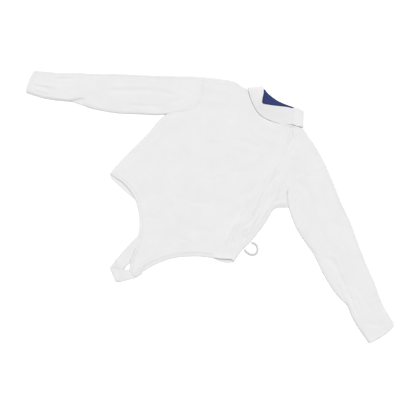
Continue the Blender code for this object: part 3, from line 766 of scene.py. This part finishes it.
RIGHT_ROLLS = [(0.0, 6.2, 7.4, 4.6, 2.4, 0.0), (0.15, 6.4, 8.0, 4.6, 2.4, 0.0),
               (0.55, 6.4, 8.0, 4.6, 2.6, 0.0), (0.66, 7.0, 8.2, 6.6, 6.0, 0.5),
               (0.80, 7.4, 8.2, 8.0, 8.0, 0.75), (0.95, 7.4, 8.2, 8.9, 9.5, 0.85),
               (1.0, 7.4, 8.2, 8.9, 9.5, 0.85)]
LEFT_ROLLS = [(0.0, 6.2, 7.4, 4.8, 2.4, 0.0), (0.15, 6.4, 8.0, 4.8, 2.4, 0.0),
              (0.7, 6.6, 8.0, 5.0, 2.6, 0.0), (0.85, 7.2, 8.2, 5.4, 4.0, 0.4),
              (1.0, 7.2, 8.2, 5.8, 5.0, 0.4)]


def way_between(ring, start, end):
    """The shorter way along the ring from the point nearest start to the one nearest end."""
    there = stretch_of(ring, start, end)
    back = stretch_of(ring, end, start)[::-1]
    return there if steps_of(there).sum() < steps_of(back).sum() else back


class SleevePlan:
    """A sleeve from above: its top and under edges, its armhole and its cuff.

    corners are the armhole's and the cuff's ends on the top edge, then on the under edge.
    """

    def __init__(self, node, corners):
        ring = outline_of(node, step=2.5)[0]
        self.top = way_between(ring, corners[0], corners[1])
        self.under = way_between(ring, corners[2], corners[3])
        self.armhole = way_between(ring, corners[0], corners[2])
        self.cuff = way_between(ring, corners[1], corners[3])
        self.size = steps_of(self.top).sum()
        ahead = self.under[0] - self.top[0]
        ahead = np.array([-ahead[1], ahead[0]]) / np.linalg.norm(ahead)
        self.ahead = ahead * math.copysign(1.0, ahead @ (self.top[-1] - self.top[0]))

    def marks(self):
        """Distances from the armhole of its rows of points, closer at the seam and the hem."""
        to_cuff = (CUFF_HEM + 1.1, CUFF_HEM, CUFF_HEM - 1.1, 9.0, 5.0, 2.2, 1.1, 0.4, 0.0)
        between = np.round(np.arange(7.0, self.size - 16.5, 3.9), 3)
        return sorted({0.0, 0.5, 1.2, 2.2, 3.6} | {self.size - d for d in to_cuff} | set(between))

    def row(self, along):
        """Places across it at a share of its length, their shares and distances in its width."""
        a, b = at_share(self.top, [along])[0], at_share(self.under, [along])[0]
        width = np.linalg.norm(b - a)
        inner = np.linspace(SLEEVE_EDGE[-1], width - SLEEVE_EDGE[-1], SLEEVE_MIDDLES)[1:-1]
        across = np.array(SLEEVE_EDGE + list(inner) + [width - d for d in SLEEVE_EDGE[::-1]])
        share = across / width
        chord = a + (b - a) * share[:, None]
        first = self.top[0] + (self.under[0] - self.top[0]) * share[:, None]
        last = self.top[-1] + (self.under[-1] - self.top[-1]) * share[:, None]
        keep = (1.0 - min(along / 0.36, 1.0)) ** 2
        places = (chord + (at_share(self.armhole, share) - first) * keep
                  + (at_share(self.cuff, share) - last) * ease((along - 0.8) / 0.2))
        return places, share, np.minimum(across, width - across)


def make_sleeve(node, corners, creases, pinches, rolls, gap, body, finish, thread):
    """A sleeve sewn as a tube and laid flat, open at its cuff.

    pinches are creases that run out over its edges. Each row of rolls is a share of its length,
    then its height there, that of its top fold and of its under fold, the under fold's reach
    and how far that is a plain slope. gap is how deep its armhole's seam sinks under the arm,
    and the share of the seam where that begins.
    """
    plan = SleevePlan(node, corners)
    seam_shares = np.linspace(0.0, 1.0, 61)
    seam = heights_along(body, at_share(plan.armhole, seam_shares) - plan.ahead * INSIDE,
                         (0.25, 0.5, 0.25), 3.4)
    stops, *columns = zip(*rolls)
    marks = plan.marks()
    rows = []
    for mark in marks:
        along, to_cuff = mark / plan.size, plan.size - mark
        places, share, from_edge = plan.row(along)
        high, top_fold, under_fold, under_reach, under_slope = (
            np.interp(along, stops, column) for column in columns)
        under = share > 0.5
        fold = np.where(under, under_fold, top_fold)
        reach = np.where(under, under_reach, TOP_REACH)
        slope = np.where(under, under_slope, TOP_SLOPE)
        rise = ((1 - slope) * rounded(from_edge / reach) + slope * np.clip(from_edge / reach, 0, 1))
        above = (TUBE_MIDDLE + (fold - TUBE_MIDDLE) * rise
                 + (high - fold) * ease(from_edge / FOLD_BLEND)
                 + CROWN * np.sin(math.pi * share) ** 2 * math.sin(math.pi * along) ** 0.5)
        inside = ease(from_edge / CREASE_BLEND)
        above += (0.9 * creased(places, creases) + rumple(places, 0.25, 52.0, 1.1)) * inside
        above += creased(places, pinches) * rounded(from_edge / 3.0)
        at_seam = np.interp(share, seam_shares, seam)
        at_seam = np.minimum(at_seam, TUBE_MIDDLE
                             + (at_seam - TUBE_MIDDLE) * rounded(from_edge / 2.2))
        above = at_seam + (above - at_seam) * float(ease(mark / SEAM_BLEND))
        above -= SEAM_SINK * math.exp(-(mark / SEAM_REACH) ** 2)  # the armhole's seam
        above -= gap[0] * ease((share - gap[1]) / (1.0 - gap[1])) * (
            1.0 - float(rounded(mark / PIT_REACH)))
        above += CUFF_RISE * float(ease((CUFF_HEM + 1.0 - to_cuff) / HEM_STEP))  # the cuff's hem
        above -= CUFF_SINK * math.exp(-((to_cuff - CUFF_HEM) / SINK_REACH) ** 2)
        below = TUBE_MIDDLE * (1.0 - rounded(from_edge / UNDER_REACH))
        below += np.maximum(creased(places + UNDER_SHIFT, creases), 0.0) * UNDER_SHARE * inside
        above = np.maximum(above, below + TUBE_ROOM * rounded(from_edge / 2.2))
        rim = 0.5 * (1.0 - float(rounded(to_cuff / 1.2)))
        if mark == 0.0:  # up to the body's edge, across the seam
            places = places - plan.ahead * SEAM_LAP
        rows.append(np.vstack([np.column_stack([places, above - rim]),
                               np.column_stack([places, below + rim])[-2:0:-1]]))
    faces = grid_faces(len(rows), len(rows[0]), closed=True)
    piece = finish_piece(node + "_cloth", np.vstack(rows), faces, finish, [node])
    outward_normals(piece)
    apply_modifier(piece, "SOLIDIFY", thickness=WALL * MM, offset=-1.0, use_rim=True)
    stitched = rows[marks.index(plan.size - CUFF_HEM)][:len(share)]
    thread_piece = stitches(node + "_cuff_stitching", piece, [stitched[4:-4, :2]], thread)
    return piece, thread_piece


def outward_normals(piece):
    """Turn the faces so that the highest one looks up."""
    mesh = piece.data
    bm = bmesh.new()
    bm.from_mesh(mesh)
    bmesh.ops.recalc_face_normals(bm, faces=bm.faces)
    highest = max(bm.faces, key=lambda face: face.calc_center_median().z)
    if highest.normal.z < 0:
        bmesh.ops.reverse_faces(bm, faces=bm.faces)
    bm.to_mesh(mesh)
    bm.free()


def apply_modifier(piece, kind, **settings):
    """Add a modifier to a piece and apply it."""
    bpy.ops.object.select_all(action="DESELECT")
    piece.select_set(True)
    bpy.context.view_layer.objects.active = piece
    modifier = piece.modifiers.new(kind.lower(), kind)
    for name, value in settings.items():
        setattr(modifier, name, value)
    bpy.ops.object.modifier_apply(modifier=modifier.name)


def make_sleeves(front, side_front, finish, thread):
    """Both sleeves; their rolls are widest where the wrist's edge turns under."""
    piece, cuff = make_sleeve(
        "right_sleeve", [RIGHT_ARMHOLE[0], (-771, -15), RIGHT_ARMHOLE[1], (-748, -97)],
        RIGHT_SLEEVE_CREASES, RIGHT_SLEEVE_PINCHES, RIGHT_ROLLS, (4.6, 0.92), front, finish, thread)
    piece, cuff = make_sleeve(
        "left_sleeve", [(250, 327), (771, 29), (227, 134), (735, -77)], LEFT_SLEEVE_CREASES,
        LEFT_SLEEVE_PINCHES, LEFT_ROLLS, (5.0, 0.66), side_front, finish, thread)


# ---- the collar and the strap
# Sections of the collar's band from its closing edge round to its underlap: x, y, z of the neck
# seam, then x, y, z of its free edge, on the middle of its wall, as in the CAD
COLLAR_SECTIONS = [
    (62, 374, 8, 36, 420, 9.6),
    (58.2, 371.8, 8, 32.2, 418.6, 11.2),
    (44, 363.6, 7.6, 15, 412, 11.4),
    (23, 349.6, 6.6, -6, 400, 12),
    (-6, 339.5, 5.8, -26, 388, 13),
    (-39, 333.6, 5.6, -46, 377, 13.4),
    (-69, 339.5, 5.8, -64, 369.5, 13.9),
    (-94, 351.5, 6.2, -74, 382, 13.7),
    (-112.5, 362.8, 6, -83.5, 402, 12.6),
    (-128, 375.5, 5.6, -92.5, 413.5, 10.8),
    (-135, 383, 4.9, -97, 418.5, 7.2),
    (-136.5, 384.5, 3, -98.5, 420, 3.2),
    (-134, 382.3, 1.2, -96, 418, 1.2),
    (-105, 365.6, 1.2, -72, 411, 1.2),
    (-60, 359.4, 1.2, -45, 409.5, 1.2),
    (-15, 357.4, 1.2, -18, 412, 1.2),
    (30, 359.4, 1.2, 12, 420, 1.2),
    (71, 368.2, 1.2, 42, 430, 1.2),
    (96, 385, 1.2, 62.5, 434.5, 1.2),
    (99.5, 389.5, 3.4, 66.5, 435, 3.4),
    (96.5, 388.5, 5.7, 63.5, 434.5, 5.9),
    (82, 380, 5.7, 44, 431.5, 6.6),
    (66, 375.6, 5.4, 33.5, 424.5, 7.4),
    (52, 370, 5.3, 24, 411, 8.2),
]
COLLAR_WALL = 2.4
# How far out over the body's edge its first sections' neck seam lies, and how high
COLLAR_SEAM = [(1.4, 5.2), (1.4, 6.2), (1.4, 6.0), (1.0, 5.3), (0.3, 4.9)]
COLLAR_CREASES = [([(-92, 406), (-87, 388), (-81, 370), (-74, 350)], -1.3, 4, 5),
                  ([(-84, 402), (-78, 386), (-72, 370)], 0.7, 5, 5)]
# The strap's sections out of the point, the ends of its fold, and its sections back to the hem
STRAP_SECTIONS = [
    (-78, -352, 0.8, -42, -360, 0.8),
    (-88, -376, 0.8, -54, -388, 0.8),
    (-99, -383.5, 3.4, -69, -406, 1.1),
    (-114, -394.5, 4.9, -85, -424, 3.2),
    (-132, -402, 7.2, -97, -433, 6.8),
]
STRAP_FOLD = ((-147, -410), (-103, -436))
FOLD_RADIUS, FOLD_MIDDLE = 2.2, 3.0  # of the strap's fold: its half height, and its middle
FOLD_BACK = 1.25  # and how far in from STRAP_FOLD it begins
STRAP_RETURN = [
    (-147.5, -400, 0.8, -104, -427, 0.8),
    (-147.2, -389, 1.6, -105, -408, 1.2),
    (-147, -374, 4.8, -106, -386, 3.8),
    (-145.6, -357, 3, -103, -364, 3.2),
    (-145, -342, 3.4, -100.5, -345, 1.4),
    (-141, -302, 3.9, -97, -302, 0.8),
    (-137, -262, 2, -94, -262, 0.8),
    (-134, -200, 0.8, -91, -200, 0.8),
    (-133.5, -178, 0.8, -90.5, -178, 0.8),
    (-133.4, -171.5, 2.75, -90.4, -171.5, 2.75),
    (-133, -152, 2.75, -90, -152, 2.75),
]


def band(name, sections, columns, wall, finish, replaces, relief, low):
    """A ribbon through sections given by their two edges, with a wall about its middle.

    relief(places) is added to its height where that is above low.
    """
    sections = np.asarray(sections)
    share = np.linspace(0.0, 1.0, columns + 1)
    rise = 0.35 * share + 0.65 * ease(share)
    grid = []
    for section in sections:
        first, second = section[:3], section[3:]
        row = first + (second - first) * share[:, None]
        row[:, 2] = first[2] + (second[2] - first[2]) * rise
        grid.append(row)
    grid = np.array(grid)
    places = grid[:, :, :2].reshape(-1, 2)
    grid[:, :, 2] += relief(places).reshape(grid.shape[:2]) * ease((grid[:, :, 2] - low) / 2.0)
    piece = finish_piece(name, grid.reshape(-1, 3), grid_faces(*grid.shape[:2]), finish,
                         replaces)
    outward_normals(piece)
    apply_modifier(piece, "SOLIDIFY", thickness=wall * MM, offset=0.0, use_even_offset=True)
    apply_modifier(piece, "BEVEL", width=0.28 * wall * MM, segments=2, limit_method="ANGLE",
                   angle_limit=math.radians(55))
    return piece, grid


def line_on(grid, share):
    """A line along a band at a share of its width, from above."""
    return (grid[:, 0] + (grid[:, -1] - grid[:, 0]) * share)[:, :2]


def make_collar(finish, thread):
    """The stand collar: a stiff band open in front, folded flat at both sides."""
    sections = np.array(COLLAR_SECTIONS)
    for k, (out, seam_height) in enumerate(COLLAR_SEAM):
        away = sections[k, :2] - sections[k, 3:5]
        sections[k, :2] += away / np.linalg.norm(away) * out
        sections[k, 2] = seam_height
    sections = smooth_line(sections, 6)
    sections[:, [2, 5]] = np.maximum(sections[:, [2, 5]], COLLAR_WALL / 2)
    piece, grid = band("collar_band", sections, 14, COLLAR_WALL, finish, ["collar"],
                       lambda places: creased(places, COLLAR_CREASES), 4.0)
    lines = [line_on(grid[2:52], share) for share in (0.13, 0.87)]
    thread_piece = stitches("collar_topstitching", piece, lines, thread)


def make_strap(finish, thread):
    """The crotch strap: out of the front's point, folded over, and back to the back hem."""
    outer, inner = (np.array(p) for p in STRAP_FOLD)
    along = inner - outer
    outward = np.array([along[1], -along[0]]) / np.linalg.norm(along)
    fold = []
    for turn in np.linspace(0.0, math.pi, 9):
        out = outward * (FOLD_RADIUS * math.sin(turn) - FOLD_BACK)
        z = FOLD_MIDDLE + FOLD_RADIUS * math.cos(turn)
        fold.append((*(outer + out), z, *(inner + out), z))
    start = smooth_line(STRAP_SECTIONS, 6)
    home = smooth_line(STRAP_RETURN, 6)
    home[:, [2, 5]] = np.maximum(home[:, [2, 5]], WALL / 2)
    piece, grid = band("strap_band", np.vstack([start, fold, home]), 12, WALL, finish,
                       ["crotch_strap"], lambda places: rumple(places, 0.45, 26.0, 0.7), 1.6)
    lines = [line_on(part, share) for share in (0.1, 0.9) for part in (grid[:24], grid[34:])]
    thread_piece = stitches("strap_topstitching", piece, lines, thread)


LOOP_THICK, LOOP_SIDES = 7.0, 18
LOOP_RIB, LOOP_TWIST = 0.11, 2.6  # its ribs' half height, and their turn in radians for each mm
LOOP_LINE = [(197.5, -42.0), (209, -38.8), (220, -40.8), (229.5, -50), (233, -61),
             (229, -71.5), (219, -78.0), (207, -79.3), (192.5, -77.0)]


def make_loop(finish):
    """The braided elastic in the left side seam, its ridges running round it."""
    line = spaced(smooth_line(LOOP_LINE, 8), 110)
    rings, sides, gone = [], LOOP_SIDES, 0.0
    for k, point in enumerate(line):
        along = line[min(k + 1, len(line) - 1)] - line[max(k - 1, 0)]
        along = along / np.linalg.norm(along)
        aside = np.array([-along[1], along[0]])
        gone += 0.0 if k == 0 else np.linalg.norm(point - line[k - 1])
        ring = []
        for j in range(sides):
            turn = math.tau * j / sides
            ribs = LOOP_RIB * (math.cos(gone * LOOP_TWIST + 2 * turn)
                               + math.cos(gone * LOOP_TWIST - 2 * turn))
            radius = LOOP_THICK / 2 - 2 * LOOP_RIB + ribs
            flat = point + aside * math.cos(turn) * radius
            ring.append((*flat, max(LOOP_THICK / 2 + math.sin(turn) * radius, 0.02)))
        rings.append(ring)
    vertices = np.vstack(rings)
    faces = grid_faces(len(rings), sides, closed=True)
    faces += [tuple(range(sides))[::-1], tuple(range((len(rings) - 1) * sides, len(vertices)))]
    piece = finish_piece("elastic_loop_braid", vertices, faces, finish,
                         ["elastic_loop"], smooth=60.0)
    outward_normals(piece)


# ---- surroundings and camera
KEY_LIGHT, OVERHEAD_LIGHT, WORLD_LIGHT = 1.58, 1.45, 0.42
KEY_SPREAD, OVERHEAD_SPREAD = 24, 70  # degrees
KEY_TRAVELS = (0.47, -0.70, -1.12)  # from beyond the collar, down to the hem
FLOOR_HALF, FLOOR_HEIGHT = 4.0, -0.0003
CAMERA_PLACE = (0.003, -0.0374, 3.446)  # metres, over the jacket's middle
CAMERA_TURN = math.atan2(0.6, 0.8)  # 0.6 across the view and 0.8 up it is the way to the collar


def sun(name, strength, spread):
    """A far lamp, its light spread over an angle in degrees."""
    data = bpy.data.lights.new(name, "SUN")
    data.energy, data.angle = strength, math.radians(spread)
    return placed(name, data)


def make_surroundings():
    """A pale floor at the jacket's underside, soft light from the collar's side, an even sky."""
    floor = bpy.data.meshes.new("floor")
    floor.from_pydata([(x * FLOOR_HALF, y * FLOOR_HALF, FLOOR_HEIGHT)
                       for x, y in ((-1, -1), (1, -1), (1, 1), (-1, 1))], [], [(0, 1, 2, 3)])
    paint, _, shader = new_material("matt_white_table", 0.9)
    shader.inputs["Base Color"].default_value = linear("#F9F9F9")
    floor.materials.append(paint)
    placed("floor", floor)
    key = sun("key", KEY_LIGHT, KEY_SPREAD)
    key.rotation_euler = Vector(KEY_TRAVELS).to_track_quat("-Z", "Y").to_euler()
    sun("overhead", OVERHEAD_LIGHT, OVERHEAD_SPREAD)
    world = bpy.context.scene.world or bpy.data.worlds.new("studio")
    bpy.context.scene.world = world
    world.use_nodes = True
    sky = world.node_tree.nodes["Background"]
    sky.inputs["Color"].default_value = (1, 1, 1, 1)
    sky.inputs["Strength"].default_value = WORLD_LIGHT


def make_camera():
    """Straight above, turned so that the collar points up and to the right."""
    data = bpy.data.cameras.new("camera")
    data.lens, data.sensor_width = 85.0, 36.0
    camera = placed("camera", data)
    camera.location = CAMERA_PLACE
    camera.rotation_euler = (0.0, 0.0, CAMERA_TURN)
    bpy.context.scene.camera = camera
    bpy.context.scene.view_settings.view_transform = "Standard"


def main():
    finishes = make_materials()
    make_surroundings()
    make_camera()
    twill, thread = finishes["twill"], finishes["thread"]
    make_back(twill, thread)
    make_zip_tape(finishes["tape"])
    front, front_ring = make_front(twill, thread)
    side_front = make_side_front(front, front_ring, twill)
    make_sleeves(front, side_front, twill, thread)
    make_collar(finishes["band"], thread)
    make_lining(finishes["lining"])
    make_strap(twill, thread)
    make_loop(finishes["elastic"])


main()
